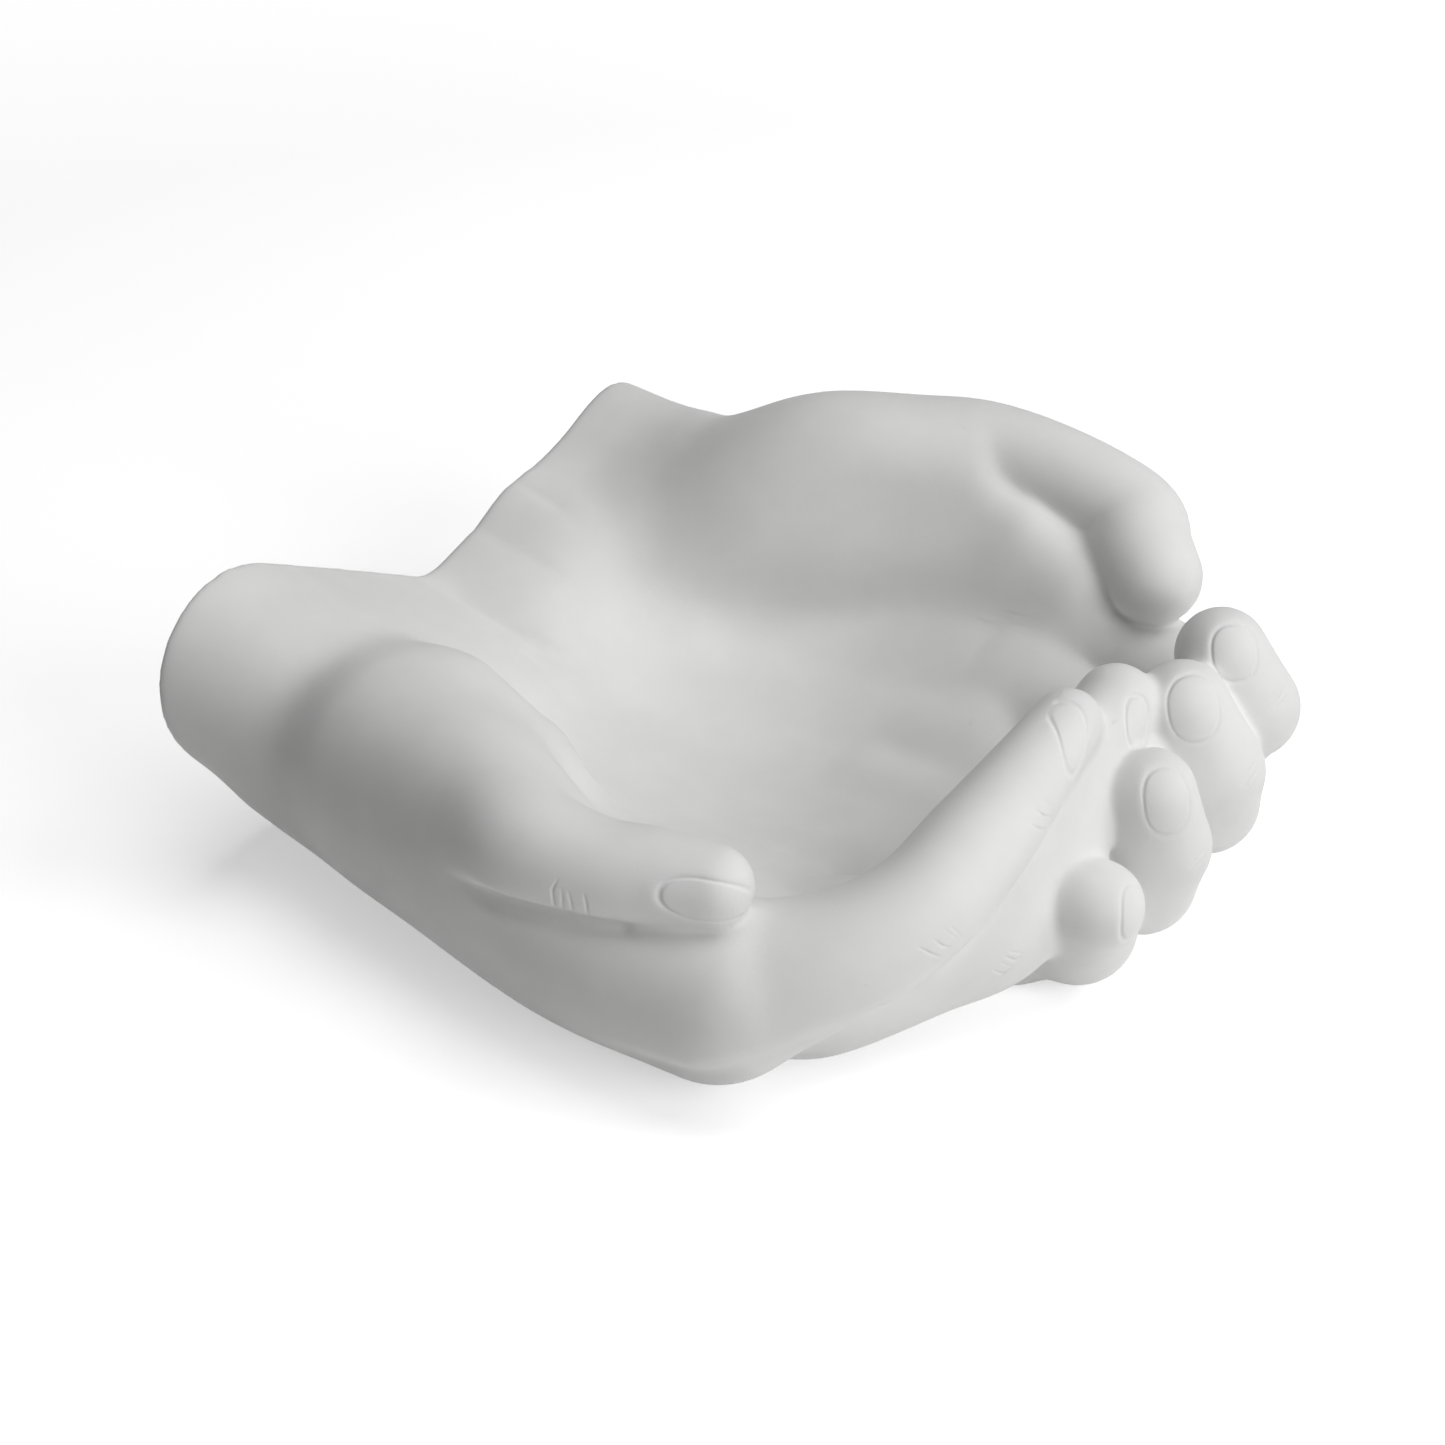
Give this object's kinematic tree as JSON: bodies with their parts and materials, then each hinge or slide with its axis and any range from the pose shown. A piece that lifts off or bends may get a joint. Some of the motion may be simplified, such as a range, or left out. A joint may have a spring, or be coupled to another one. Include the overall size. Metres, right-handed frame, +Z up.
{
  "type": "hand-shaped decorative tray",
  "caption": "Shallow decorative tray shaped as a pair of cupped hands with crossed fingers, cut flat at the wrists and underneath.",
  "frame": {"origin": "on the table under the centre of the tray's bounding box", "axes": "+X from the cut wrists to the finger tips, +Y from the right hand to the left hand, +Z up"},
  "size_m": [0.1811, 0.1805, 0.0718],
  "materials": {
    "bisque": "matt white, unglazed, like cast resin or bisque"
  },
  "bodies": {
    "root": {"hand_tray": "bisque"}
  },
  "joints": []
}
